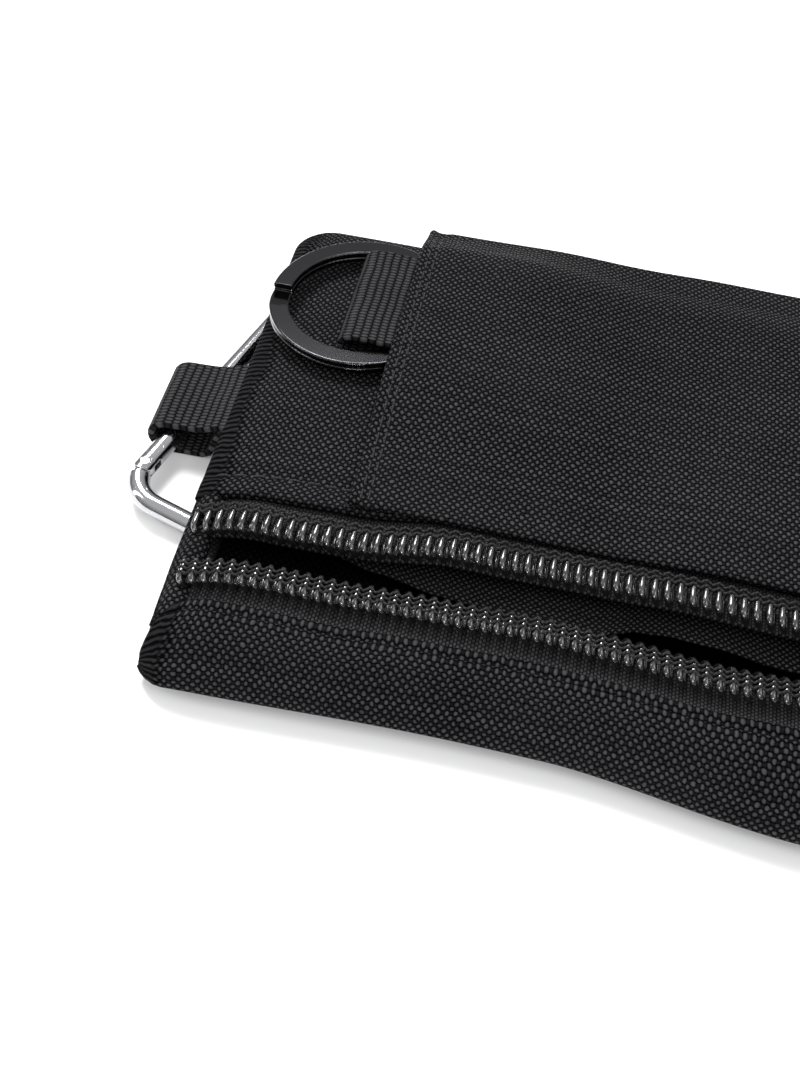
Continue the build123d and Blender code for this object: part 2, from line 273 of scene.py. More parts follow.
def weave_material(name, px, py, dark, light, bump, fibre=0.5, rough=0.55, turned=0.0):
    """Plain weave: warp along V with pitch px, weft along U with pitch py, both in mm. Within the distance
    turned of the piece's first edge the weft lies in long ribs instead."""
    s = Shade(name)
    u0, v0 = s.uv()
    # yarns are never quite straight or even
    drift = s.noise(s.scaled(u0, 0.09, v0, 0.09), 1.0, 2.0)
    drift2 = s.noise(s.scaled(u0, 0.09, v0, 0.09, 7.3), 1.0, 2.0)
    jog = s.noise(s.scaled(u0, 0.8, v0, 0.8, 3.3), 1.0, 1.0)
    jog2 = s.noise(s.scaled(u0, 0.8, v0, 0.8, 9.1), 1.0, 1.0)
    u = s.math("ADD", s.math("DIVIDE", u0, px), s.centred(drift, WANDER))
    v = s.math("ADD", s.math("DIVIDE", v0, py), s.centred(drift2, WANDER))
    u = s.math("ADD", u, s.centred(jog, JOG))
    v = s.math("ADD", v, s.centred(jog2, JOG))
    iu, iv = s.math("FLOOR", u), s.math("FLOOR", v)
    fu, fv = s.math("SUBTRACT", s.math("FRACT", u), 0.5), s.math("SUBTRACT", s.math("FRACT", v), 0.5)

    def across(f):
        q = s.math("MULTIPLY", f, 2.02)
        return s.math("SQRT", s.math("MAXIMUM", s.math("SUBTRACT", 1.0, s.math("MULTIPLY", q, q)), 0.0))

    def along(cell, other):
        # cos(pi * (other_at_cell_centre + cell)): up on one cell, down on the next
        a = s.math("MULTIPLY", s.math("ADD", s.math("SUBTRACT", other, 0.5), cell), math.pi)
        return s.math("COSINE", a)

    warp_wave = along(iu, v)
    weft_wave = s.math("MULTIPLY", along(iv, u), -1.0)
    warp = s.math("ADD", s.math("MULTIPLY", across(fu), 0.75), s.math("MULTIPLY", warp_wave, CRIMP))
    weft = s.math("ADD", s.math("MULTIPLY_ADD", across(fv), 0.75, WEFT_OVER),
                  s.math("MULTIPLY", weft_wave, CRIMP))
    if turned:
        # close to the turned side edge the weft lies over in long ribs
        reach = s.math("ADD", turned, s.centred(drift, 6.0))
        rib = s.math("MULTIPLY", s.math("SUBTRACT", reach, u0), 0.5, clamp_it=True)
        coarse = s.math("SUBTRACT", s.math("FRACT", s.math("MULTIPLY", v, 0.62)), 0.5)
        ridge = s.math("SUBTRACT", s.math("MULTIPLY", across(coarse), 1.1), 0.1)
        weft = s.math("ADD", s.math("MULTIPLY", weft, s.math("SUBTRACT", 1.0, rib)),
                      s.math("MULTIPLY", ridge, rib))
        warp = s.math("SUBTRACT", warp, s.math("MULTIPLY", rib, 2.0))
    is_warp = s.math("GREATER_THAN", warp, weft)
    height = s.math("MAXIMUM", warp, weft)
    # filaments run along the yarn that is on top
    fil_warp = s.noise(s.scaled(u, 9.0, v, 0.9, 1.7), 1.0, 1.0)
    fil_weft = s.noise(s.scaled(u, 0.9, v, 9.0, 5.1), 1.0, 1.0)
    fil = s.math("ADD", s.math("MULTIPLY", fil_warp, is_warp),
                 s.math("MULTIPLY", fil_weft, s.math("SUBTRACT", 1.0, is_warp)))
    h = s.math("ADD", height, s.centred(fil, fibre * 0.5))
    # each yarn a little lighter or darker than the next
    yarn = s.noise(s.vector(s.math("MULTIPLY", iu, s.math("MULTIPLY", is_warp, 1.37)),
                            s.math("MULTIPLY", iv, s.math("SUBTRACT", 1.61,
                                                          s.math("MULTIPLY", is_warp, 1.61)))),
                   1.0, 0.0)
    worn = s.noise(s.scaled(u0, 0.035, v0, 0.035, 2.2), 1.0, 4.0, 0.6)
    # painted shade and light: the colour follows the yarn height, near black in the hollows between the yarns
    # and lightest on the yarn crowns
    tone = s.math("MULTIPLY", s.math("SUBTRACT", height, 0.60), 1.25, clamp_it=True)
    tone = s.math("MULTIPLY", tone, s.math("ADD", 0.62, s.math("MULTIPLY", yarn, 0.5)))
    # painted shade: the warp yarns are painted darker than the weft
    tone = s.math("MULTIPLY", tone, s.math("SUBTRACT", 1.0, s.math("MULTIPLY", is_warp, 1.0 - WARP_PAINTED_LIGHT)))
    tone = s.math("ADD", tone, s.centred(worn, 0.22), clamp_it=True)
    tone = s.math("ADD", tone, s.centred(fil, 0.5 * fibre), clamp_it=True)
    tone = s.math("POWER", tone, 1.5)
    color = s.ramp(tone, [(0.0, dark), (1.0, light)])
    rough_v = s.math("ADD", rough, s.centred(fil, 0.3))
    rough_v = s.math("SUBTRACT", rough_v, s.centred(tone, 0.5), clamp_it=True)
    s.set(color=color, rough=rough_v, spec=WEAVE_SPEC, sheen=CLOTH_SHEEN, sheen_rough=0.45,
          normal=s.bump(h, bump))
    return s.m


def rib_material(name, pitch, cross, dark, light, bump=0.00012, rough=0.6, along_u=True):
    """Ribbed narrow weave: cords run along one way at pitch, with fine picks across them."""
    s = Shade(name)
    u0, v0 = s.uv()
    a, b = (v0, u0) if along_u else (u0, v0)
    drift = s.noise(s.scaled(u0, 0.15, v0, 0.15), 1.0, 2.0)
    rib = s.math("ADD", s.math("DIVIDE", a, pitch), s.centred(drift, 0.5))
    cell = s.math("FLOOR", rib)
    f = s.math("SUBTRACT", s.math("FRACT", rib), 0.5)
    parity = s.math("FRACT", s.math("MULTIPLY", cell, 0.5))
    pick = s.math("ADD", s.math("DIVIDE", b, cross), parity)
    q = s.math("MULTIPLY", f, 2.0)
    round_ = s.math("SQRT", s.math("MAXIMUM", s.math("SUBTRACT", 1.0, s.math("MULTIPLY", q, q)), 0.0))
    picks = s.math("ABSOLUTE", s.math("SINE", s.math("MULTIPLY", pick, math.pi)))
    h = s.math("ADD", s.math("MULTIPLY", round_, 0.6), s.math("MULTIPLY", picks, 0.45))
    fine = s.noise(s.scaled(u0, 6.0, v0, 6.0), 1.0, 2.0)
    worn = s.noise(s.scaled(u0, 0.08, v0, 0.08, 4.0), 1.0, 3.0)
    # painted shade and light: the colour follows the cord and pick height, darker in the hollows between them
    # and lighter on their crowns
    tone = s.math("MULTIPLY", s.math("SUBTRACT", h, 0.35), 1.35, clamp_it=True)
    tone = s.math("ADD", tone, s.centred(fine, 0.5))
    tone = s.math("ADD", tone, s.centred(worn, 0.3), clamp_it=True)
    tone = s.math("POWER", tone, 1.6)
    s.set(color=s.ramp(tone, [(0.0, dark), (1.0, light)]),
          rough=s.math("SUBTRACT", rough + 0.12, s.math("MULTIPLY", tone, 0.25)), spec=RIB_SPEC,
          sheen=CLOTH_SHEEN, sheen_rough=0.5,
          normal=s.bump(s.math("ADD", h, s.math("MULTIPLY", fine, 0.15)), bump))
    return s.m


def thread_material(name, dark, light, twist=0.55, rough=0.45):
    s = Shade(name)
    u0, v0 = s.uv()
    lay = s.math("ADD", s.math("DIVIDE", u0, twist), s.math("MULTIPLY", v0, 1.2))
    ply = s.math("ABSOLUTE", s.math("SINE", s.math("MULTIPLY", lay, math.pi)))
    fine = s.noise(s.scaled(u0, 3.0, v0, 12.0), 1.0, 2.0)
    # painted shade: the colour follows the twist, darker in the grooves between the plies and lighter on them
    s.set(color=s.ramp(s.math("ADD", s.math("MULTIPLY", ply, 0.7), s.math("MULTIPLY", fine, 0.3)),
                       [(0.1, dark), (1.0, light)]),
          rough=s.math("ADD", rough, s.math("MULTIPLY", fine, 0.2)), spec=0.25, sheen=0.01, sheen_rough=0.4,
          normal=s.bump(ply, 0.00008))
    return s.m


def filament_material(name):
    s = Shade(name)
    u0, v0 = s.uv()
    streak = s.noise(s.scaled(u0, 0.5, v0, 5.0), 1.0, 3.0)
    dust = s.noise(s.object_xyz(), 2600.0, 3.0)
    rough = s.math("ADD", 0.10, s.math("MULTIPLY", dust, 0.16))
    s.set(color=s.ramp(streak, [(0.2, (0.003, 0.003, 0.0035)), (0.9, (0.014, 0.014, 0.015))]), rough=rough,
          spec=0.8, coat=1.0, coat_rough=0.05, normal=s.bump(s.math("ADD", streak, dust), 0.00002))
    return s.m


def metal_material(name, base, bright, rough, scratch=0.25, grain_scale=900.0, grain_detail=6.0, tarnish=0.25,
                   edge_radius=0.00015, relief=0.000012):
    """Metal with paler edges, partly worn metal and partly a painted highlight along every edge, fine scratches
    and a cloudy tarnish. edge_radius and relief in metres.
    """
    s = Shade(name)
    xyz = s.object_xyz()
    scuff = s.noise(xyz, grain_scale, grain_detail, 0.6)
    cloud = s.noise(xyz, 160.0, 3.0)
    mp = s.node("ShaderNodeMapping")
    mp.inputs["Scale"].default_value = (1.0, 0.08, 1.0)
    mp.inputs["Rotation"].default_value = (0.3, 0.2, 0.5)
    s.put(mp.inputs["Vector"], xyz)
    lines = s.noise(mp.outputs[0], 5200.0, 2.0, 0.6)
    mask = s.math("GREATER_THAN", lines, 0.66)
    soft_edge = s.node("ShaderNodeBevel", samples=4)
    soft_edge.inputs["Radius"].default_value = edge_radius
    geo = s.node("ShaderNodeNewGeometry")
    turn = s.node("ShaderNodeVectorMath", operation="DOT_PRODUCT")
    s.put(turn.inputs[0], soft_edge.outputs[0])
    s.put(turn.inputs[1], geo.outputs["Normal"])
    # painted highlight and wear: the colour turns paler where the bevelled normal leans away from the face,
    # along every edge
    edge = s.math("MULTIPLY", s.math("SUBTRACT", 0.995, turn.outputs["Value"]), 4.0, clamp_it=True)
    tone = s.math("ADD", s.math("MULTIPLY", cloud, tarnish), s.math("MULTIPLY", edge, 0.6), clamp_it=True)
    color = s.mix(tone, (*base, 1), (*bright, 1))
    r = s.math("ADD", rough, s.math("ADD", s.math("MULTIPLY", scuff, scratch * 0.4),
                                     s.math("MULTIPLY", mask, scratch * 0.3)), clamp_it=True)
    s.set(color=color, metal=1.0, rough=r,
          normal=s.bump(s.math("ADD", scuff, s.math("MULTIPLY", mask, 0.6)), relief,
                        normal=soft_edge.outputs[0]))
    return s.m


# SHELL_DARK is the painted shade in the hollows between the yarns, SHELL_LIGHT the painted light on the yarn
# crowns
SHELL_DARK, SHELL_LIGHT = (0.0001, 0.0001, 0.0002), (0.057, 0.057, 0.061)
SHELL = weave_material("shell_weave", 0.52, 0.56, SHELL_DARK, SHELL_LIGHT, bump=0.00018)
SHELL_EDGE = weave_material("shell_weave_turned", 0.52, 0.56, SHELL_DARK, SHELL_LIGHT, bump=0.00018, turned=5.0)
LINING = weave_material("lining_weave", 0.45, 0.42, (0.0002, 0.0002, 0.0003), (0.065, 0.065, 0.068),
                        bump=0.00012, rough=0.6, fibre=0.3)
TAPE = rib_material("zip_tape_rib", 0.42, 0.5, (0.0004, 0.0004, 0.0005), (0.05, 0.05, 0.052), along_u=False)
WEBBING = rib_material("webbing_rib", 1.15, 0.62, (0.0001, 0.0001, 0.0002), (0.055, 0.055, 0.058),
                       bump=0.0005, along_u=False)
BINDING = rib_material("binding_rib", 0.6, 0.5, (0.001, 0.001, 0.0012), (0.018, 0.018, 0.019))
# painted shade: the inside of the shell is the shell's own cloth painted about ten times darker, for the shade
# inside the pouch
INSIDE_SHADED = weave_material("shell_inside_painted_shade", 0.52, 0.56, (0.0001, 0.0001, 0.0001), (0.006, 0.006, 0.0065),
                        bump=0.0001, rough=0.5, fibre=0.3)
THREAD = thread_material("sewing_thread", (0.001, 0.001, 0.0012), (0.024, 0.024, 0.0255))
COIL = filament_material("coil_filament")
STEEL = metal_material("polished_steel", (0.46, 0.46, 0.48), (0.72, 0.72, 0.74), 0.05)
RING_METAL = metal_material("ring_gunmetal", (0.045, 0.045, 0.048), (0.42, 0.42, 0.43), 0.12, tarnish=0.0,
                            scratch=0.0, edge_radius=0.0001, relief=0.0, grain_scale=150.0, grain_detail=1.0)
SLIDER_METAL = metal_material("slider_black", (0.016, 0.016, 0.018), (0.25, 0.25, 0.26), 0.28, tarnish=0.08)

# ---------------------------------------------------------------- cloth surfaces
SEAM_TURN = math.radians(50)
TOP_CORNER_R = 6.0
HOOK_LIFT_X, HOOK_LIFT_SLOPE = -14.0, 5.4 / 51  # from here to the left end the back rises over the hook


def edge_roll(lo, hi, r_lo, r_hi, inner, steps=6):
    """Positions along one direction with a rounded, tucked-in edge at each end that has a radius.
    Returns (position, q): q is 0 at the seam and 1 past the roll."""
    turn = [lerp(-SEAM_TURN, math.pi / 2, k / steps) for k in range(steps + 1)]
    tucked = math.sin(SEAM_TURN)

    def rolled(edge, radius, angles):
        return [(edge + radius * (1 - math.cos(th)), (math.sin(th) + tucked) / (1 + tucked)) for th in angles]

    out = rolled(lo, r_lo, turn) if r_lo else []
    out += [(p, 1.0) for p in inner]
    out += rolled(hi, -r_hi, reversed(turn)) if r_hi else []
    return out


def spaced(a, b, step):
    n = max(1, round(abs(b - a) / step))
    return [lerp(a, b, i / n) for i in range(n + 1)]


def round_corner(x, y):
    """Moves a point near either top corner onto that corner's curve."""
    cx, cy = HALF_L - TOP_CORNER_R, HALF_H - TOP_CORNER_R
    if y <= cy or abs(x) <= cx:
        return x, y
    dx, dy = abs(x) - cx, abs(y) - cy
    h = math.hypot(dx, dy)
    k = max(dx, dy) / h if h > 1e-9 else 1
    return math.copysign(cx + dx * k, x), math.copysign(cy + dy * k, y)


def seam_z(x, y):
    """Height of the line where front and back meet."""
    side = lerp(3.6, 6.3, smooth(60, -60, x))
    return lerp(2.1, side, smooth(-42, -33, y))


def front_z(x, y):
    """Outside of the front cloth away from its rolled edges."""
    fx = 1 - (1 - clamp((HALF_L - abs(x)) / 17.0)) ** 2.2
    fy = 1 - (1 - clamp((HALF_H - y) / 13.0)) ** 2.0
    low = seam_z(x, y) + 1.2
    z = low + (10.0 - low) * fx * fy
    return z + 0.22 * waves(x, y, 3) * min(fx, fy)


def back_z(x, y):
    """Outside of the back cloth away from its rolled edges."""
    lift = max(0.0, HOOK_LIFT_X - x) * HOOK_LIFT_SLOPE * lerp(0.25, 1.0, smooth(-41, -24, y))
    right = 2.4 * clamp((x - 50) / 15.0) ** 2
    top = 2.2 * clamp((y - 36) / 6.0) ** 2
    bottom = 1.2 * clamp((-36 - y) / 6.0) ** 2
    return min(lift + right + max(top, bottom), seam_z(x, y) - 1.0)


def lay(name, us, vs, place):
    """Grid from two lists of parameters; UV is the path length along each, in mm."""
    pts = [[place(u, v) for u in us] for v in vs]
    mid_v, mid_u = len(vs) // 2, len(us) // 2
    run_u, run_v = [0.0], [0.0]
    for a, b in zip(pts[mid_v], pts[mid_v][1:]):
        run_u.append(run_u[-1] + (Vector(a) - Vector(b)).length)
    for a, b in zip(pts, pts[1:]):
        run_v.append(run_v[-1] + (Vector(a[mid_u]) - Vector(b[mid_u])).length)
    uv = [[(run_u[j], run_v[i]) for j in range(len(us))] for i in range(len(vs))]
    return grid(name, pts, uv)


def zip_drop(x):
    """How far the zip dips into the side seams at its ends."""
    d = abs(x)
    return 3.0 * clamp((d - 54.5) / 10.0) ** 1.8


def zip_wave(x, side):
    """Sideways wander of a row: the mouth stands open widest toward the right."""
    small = 0.10 * math.sin(x * 0.19 + side) + 0.06 * math.sin(x * 0.43 + 2.2 * side)
    if side > 0:
        return small + 0.9 * smooth(-44, -30, x) * smooth(30, -8, x)
    return small - 1.8 * smooth(-20, 8, x) * smooth(43, 22, x)


def zip_lift(x, side):
    """The open mouth stands a little proud between its ends."""
    return (0.9 if side > 0 else 0.35) * smooth(-44, -30, x) * smooth(34, -6, x)


def lip_bow(x):
    """The bottom edge swings outward toward the right."""
    return 0.7 * smooth(-60, -30, x) * smooth(5, -30, x) - 3.6 * smooth(-16, 18, x) * smooth(66, 40, x)


# back of the pouch
xs = edge_roll(-HALF_L, HALF_L, 1.3, 1.3, spaced(-63, 63, 2.0))
ys = edge_roll(-HALF_H + 0.7, HALF_H, 1.0, 1.3, spaced(-40, 40.4, 2.0))


def place_back(u, v):
    (x, qx), (y, qy) = u, v
    q = min(qx, qy)
    z = lerp(seam_z(x, y), back_z(x, y), q)
    xr, yr = round_corner(x, y)
    cut = clamp((abs(x) - 61.5) / 3.5) ** 2 * smooth(-38.5, -41, y) * 2.2
    return (xr, yr + (lip_bow(x) + cut) * smooth(-34, -41, y), z)


back = dress(lay("back_cloth", xs, list(reversed(ys)), place_back), SHELL,
             replaces=["back_panel"])
# the inner face of the back takes the painted shade
back.data.materials.append(INSIDE_SHADED)
thicken(back, 0.6).material_offset = 1

# upper front with the folded hem above the zip
def hem_rows(hem_y, sign, flap, outer):
    """(y, drop, hem share) rows: inner flap, roll at the fold, then the outer cloth. sign is +1 if the cloth
    lies on the +Y side of its fold."""
    yc = hem_y + sign * FOLD_R
    rows = [(y, -2 * FOLD_R) for y in spaced(hem_y + sign * flap, yc, 1.2)]
    for k in range(1, 8):
        a = lerp(-math.pi / 2, math.pi / 2, k / 8)
        rows.append((yc - sign * FOLD_R * math.cos(a), -FOLD_R + FOLD_R * math.sin(a)))
    rows += [(y, 0.0) for y in outer]
    return rows


rows_up = [(y, d, 1.0) for y, d in hem_rows(HEM_UP, 1, 6.0, spaced(HEM_UP + FOLD_R, 40.6, 0.9))]
rows_up += [(y, 0.0, q) for y, q in edge_roll(-HALF_H, HALF_H, 0, 1.3, [])]
xs = edge_roll(-HALF_L, HALF_L, 1.3, 1.3, spaced(-63.6, 63.6, 1.1))


def stitch_dimple(d, width=0.9, depth=0.28):
    return -depth * math.exp(-(d / width) ** 2)


def place_upper(u, v):
    (x, qx), (y, drop, qy) = u, v
    q = min(qx, qy)
    z = front_z(x, y) + drop * (1 if q > 0.9 else q)
    if drop > -0.5:
        z += stitch_dimple(y - STITCH_UP) + 0.25 * smooth(HEM_UP + 4.2, HEM_UP + 2.0, y)
        z += 0.07 * math.sin(x * 2.1) * math.exp(-((y - STITCH_UP) / 1.6) ** 2)
    near = smooth(12, HEM_UP, y) * q
    if drop < -0.6:
        x *= 0.975
    z = lerp(seam_z(x, y), z, q) + zip_lift(x, 1) * near
    xr, yr = round_corner(x, y)
    return (xr, yr + zip_wave(x, 1) * near, z)


upper = dress(lay("upper_front_cloth", xs, rows_up, place_upper), SHELL_EDGE,
              replaces=["upper_front_panel"])
thicken(upper, 0.5)

# lower lip: hem, then round the bottom fold to the back
LIP = [(-35.1, 9.98), (-35.9, 9.8), (-37.0, 9.3), (-38.8, 8.2), (-40.3, 6.7), (-41.4, 5.1), (-41.95, 3.7),
       (-41.9, 2.7), (-41.4, 2.0)]


def spline(points, per=4):
    """Smooth curve through the points, with per steps between each two."""
    out = []
    last = len(points) - 1
    for i in range(last):
        near = list(zip(points[max(i - 1, 0)], points[i], points[i + 1], points[min(i + 2, last)]))
        for k in range(per):
            t = k / per
            out.append(tuple(0.5 * (2 * b + (c - a) * t + (2 * a - 5 * b + 4 * c - d) * t * t
                                    + (3 * b - a - 3 * c + d) * t ** 3) for a, b, c, d in near))
    out.append(tuple(points[-1]))
    return out


rows_low = [(y, 10.0 + d, d < -0.9) for y, d in hem_rows(HEM_LOW, -1, 4.5, [HEM_LOW - FOLD_R])]
rows_low += [(y, z, False) for y, z in spline(LIP)]


def place_lower(u, v):
    (x, qx), (y, z, inside) = u, v
    fx = 1 - (1 - clamp((HALF_L - abs(x)) / 9.0)) ** 2.4
    low = lerp(2.0, 6.6, smooth(-42, -36, y))
    zz = low + (z - low) * fx if z > low else z
    if not inside:
        zz -= 0.38 * math.exp(-((y - HEM_LOW + 1.25) / 0.42) ** 2)
    zz += 0.16 * waves(x, y * 2, 11) * smooth(-42, -38, y) + zip_lift(x, -1) * smooth(-41, HEM_LOW, y)
    zz = lerp(min(zz, low), zz, qx)
    if inside:
        x *= 0.985
    bow = zip_wave(x, -1) * smooth(-42, HEM_LOW, y) + lip_bow(x) * smooth(HEM_LOW, -41, y)
    x -= math.copysign(1.9, x) * smooth(-41, HEM_LOW, y) * smooth(56, 64.5, abs(x))
    # the bottom corners are cut short by a small chamfer
    cut = clamp((abs(x) - 61.5) / 3.5) ** 2 * smooth(-38.5, -42, y) * 2.2
    return (x, y + bow + cut, zz)


lower = dress(lay("lower_front_cloth", xs, rows_low, place_lower), SHELL_EDGE,
              replaces=["lower_front_panel"])
thicken(lower, 0.5)

# pocket panel: open at the left hem, sewn at the other sides
POCKET_STITCH = (1.5, 2.5)
POCKET_SINK = 0.25


def pocket_z(x, y):
    over_ring = smooth(-8, 9, y) * smooth(42.5, 33, y) * lerp(1.0, 0.3, smooth(-34, -6, x))
    z = front_z(min(x, 50), min(y, 36)) + 1.75 + 3.0 * over_ring
    z += 0.35 * smooth(-16, -2, y) * math.exp(-((x - 0.55 * y - 8) / 9.0) ** 2) * smooth(40, 20, y)
    z += 0.25 * waves(x, y, 23, 1.3)
    return z


def roll_off(start, radius, steps):
    """(position, drop, share) rows past start, where a sheet curves down to the cloth under it."""
    angles = [math.pi / 2 * k / steps for k in range(1, steps + 1)]
    return [(start + radius * math.sin(a), 0.0, math.cos(a)) for a in angles]


POCKET_FLAT_X, POCKET_FLAT_Y = POCKET_END - 0.8, 41.4   # the panel is flat up to here
pocket_us = [(x, d, 1.0) for x, d in hem_rows(POCKET_X, 1, 7.5, spaced(POCKET_X + FOLD_R, POCKET_FLAT_X, 1.0))]
pocket_us += roll_off(POCKET_FLAT_X, 0.8, 5)
pocket_vs = [(y, d, 1.0) for y, d in hem_rows(POCKET_Y, 1, 5.0, spaced(POCKET_Y + FOLD_R, POCKET_FLAT_Y, 0.9))]
pocket_vs += roll_off(POCKET_FLAT_Y, 1.3, 6)


def place_pocket(u, v):
    (x, du, qx), (y, dv, qy) = u, v
    z = pocket_z(x, y)
    if du > -0.5 and dv > -0.5:
        for off in POCKET_STITCH:
            z += stitch_dimple(x - (POCKET_X + off), 0.55, 0.22)
        z += 0.22 * math.exp(-((x - POCKET_X - 0.7) / 0.6) ** 2)
    z += min(du, dv)
    rim = seam_z(x, y) + 0.8
    z = lerp(rim, z, min(qx, qy)) if min(qx, qy) < 1 else z
    # the lower edge hangs a little over the hem and rolls down to it
    z -= smooth(POCKET_Y + 6, POCKET_Y, y) * POCKET_SINK
    bow = 0.5 * math.sin((x + 45) / 107 * math.pi) * smooth(0, POCKET_Y, y)
    if x > 58 and y > 36:
        x2, y2 = round_corner(x + 3, y - 0.7)
        x, y = x2 - 3, y2 + 0.7
    return (x, y - bow, z)


pocket = dress(lay("pocket_cloth", pocket_us, pocket_vs, place_pocket), SHELL,
               replaces=["pocket_panel"])
thicken(pocket, 0.45)

# inner divider with a turned edge that shows in the mouth
EDGE_Y = [(-60, -19.6), (-46, -20.6), (-39.5, -22.2), (-32, -24.0), (-21, -25.2), (-11.5, -25.6), (-9.5, -24.8),
          (-6.4, -23.8), (-2.9, -23.5), (1, -24.0), (13, -25.0), (30, -23.0), (60, -20.5)]
rows_div = [(2.8, -0.75), (1.8, -0.75), (0.6, -0.75), (0.15, -0.6), (0.0, -0.38), (0.15, -0.12), (0.6, 0.0)]
rows_div += [(d, 0.0) for d in spaced(1.5, 60.0, 1.5)]


def place_divider(u, v):
    x = u
    d, drop = v
    y = table(EDGE_Y, x) + d
    y = min(y, 40.5)
    free = smooth(40, 30, abs(x))
    z = 6.45 + free * (0.45 + 0.3 * math.sin(x * 0.31 + 1) * math.exp(-d / 9)) + drop
    z += 0.5 * math.exp(-((x + 8) / 2.4) ** 2) * math.exp(-d / 5)
    return (x, y, z)


divider = dress(lay("divider_cloth", spaced(-60, 60, 1.2), rows_div, place_divider), LINING,
                replaces=["divider_panel"])
thicken(divider, 0.3)


# ---------------------------------------------------------------- zip
def tape_piece(name, side, replaces):
    head = MOUTH_Y + side * (HEAD_GAP / 2 + 0.7)
    back_edge = HEM_UP + 5.5 if side > 0 else HEM_LOW - 4.2

    def place(x, y):
        z = COIL_Z - zip_drop(x) - 0.05 + zip_lift(x, side)
        if side < 0:
            z -= 0.22 * clamp(-35.5 - y, 0, 5) ** 1.6
        return (x, y + zip_wave(x, side) * smooth(abs(back_edge), abs(head), abs(y)), z)

    us = spaced(-64.3, 64.3, 1.1)
    vs = spaced(head, back_edge, 0.7)[::side]
    ob = dress(lay(name, us, vs, place), TAPE, replaces=[replaces])
    thicken(ob, 0.45)


tape_piece("tape_upper", 1, "zipper_tape_upper")
tape_piece("tape_lower", -1, "zipper_tape_lower")


def row_width(side):
    return COIL_W if side > 0 else COIL_W - 0.4


def row_start(side):
    """Where a row's first loop lies. The lower row is half a pitch on, so that the loops would mesh."""
    return -TURNS * PITCH / 2 + (0.0 if side > 0 else PITCH / 2)


def coil_path(side, per=18):
    """One long spring of filament, flattened, with bulging heads toward the mouth."""
    path = []
    x0 = row_start(side)
    width = row_width(side)
    yc = MOUTH_Y + side * (HEAD_GAP / 2 + width / 2)
    half_w, half_h = width / 2 - WIRE_R, COIL_H / 2 - WIRE_R
    for k in range(TURNS * per + 1):
        t = math.tau * k / per
        c, sn = math.cos(t), math.sin(t)
        yy = math.copysign(abs(c) ** 0.62, c) * half_w
        zz = math.copysign(abs(sn) ** 0.75, sn) * half_h
        head = clamp(-c * side)
        x = x0 + PITCH * (k / per + 0.11 * math.sin(2 * t))
        zz *= 1.0 + 0.12 * head
        z = COIL_Z + COIL_H / 2 + zz - zip_drop(x) + zip_lift(x, side)
        path.append((x, yc + yy + zip_wave(x, side), z))
    return path


def coil_piece(name, side, replaces):
    dress(tube(name, coil_path(side), WIRE_R, 10), COIL, replaces=[replaces])


coil_piece("coil_upper", 1, "zipper_coil_upper")
coil_piece("coil_lower", -1, "zipper_coil_lower")


def coil_sewing(name, side, replaces):
    """Threads that bind the coil to its tape, dipping between the loops: two above the zip, three below.
    Each has its place as a share of the row's width, and its height over the loops."""
    verts, faces, uvs = [], [], []
    x0 = row_start(side)
    threads = ((0.66, 0.10), (0.86, 0.02)) if side > 0 else ((0.34, 0.10), (0.52, 0.10), (0.70, 0.06))
    for share, lift in threads:
        path = []
        y = MOUTH_Y + side * (HEAD_GAP / 2 + row_width(side) * share)
        n = TURNS * 6
        for k in range(n + 1):
            x = x0 + PITCH * TURNS * k / n
            ph = math.tau * (x - x0) / PITCH
            dip = 0.30 * (0.5 - 0.5 * math.cos(ph - 0.9))
            z = COIL_Z + COIL_H + lift - dip - zip_drop(x) + zip_lift(x, side)
            path.append((x, y + zip_wave(x, side) + 0.16 * math.sin(ph), z))
        add_tube(verts, faces, uvs, path, 0.17, 6)
    dress(mesh_object(name, verts, faces, uvs), THREAD, replaces=[replaces])


coil_sewing("coil_sewing_upper", 1, "coil_thread_upper")
coil_sewing("coil_sewing_lower", -1, "coil_thread_lower")


# fabric that bridges the two rows at each side seam
def end_bridge(name, side, replaces):
    # distance in from the side seam, and height as a share of the fold's
    fold = [(0.0, 0.0), (0.25, 0.35), (0.7, 0.75), (1.3, 1.05), (2.0, 1.2), (2.8, 1.15), (3.6, 0.8),
            (3.9, 0.35), (3.7, 0.0)]

    def place(u, y):
        d, h = u
        x = side * (HALF_L - 0.45 - d)
        return (x, y, seam_z(x, y) + 0.1 + h * 1.5)

    sheet = lay(name, fold[::-side], spaced(HEM_LOW - 1.2, HEM_UP + 1.2, 0.8), place)
    ob = dress(sheet, SHELL, replaces=[replaces])
    thicken(ob, 0.4)


end_bridge("end_bridge_left", -1, "end_tab_left")
end_bridge("end_bridge_right", 1, "end_tab_right")


def binding(name, side, replaces):
    """Narrow tape folded over the raw side seam, inside the pouch."""
    # distance in from the side seam, and height over it
    fold = [(0.6, -0.7), (4.4, -0.75), (4.9, -0.4), (4.9, 0.1), (4.4, 0.4), (0.6, 0.35)]

    def place(u, y):
        d, h = u
        return (side * (HALF_L - d), y, seam_z(side * 60, 0) + h)

    sheet = lay(name, fold[::-side], spaced(-37, 38, 2.5), place)
    ob = dress(sheet, BINDING, replaces=[replaces])
    thicken(ob, 0.25)


binding("binding_left", -1, "seam_binding_left")
binding("binding_right", 1, "seam_binding_right")


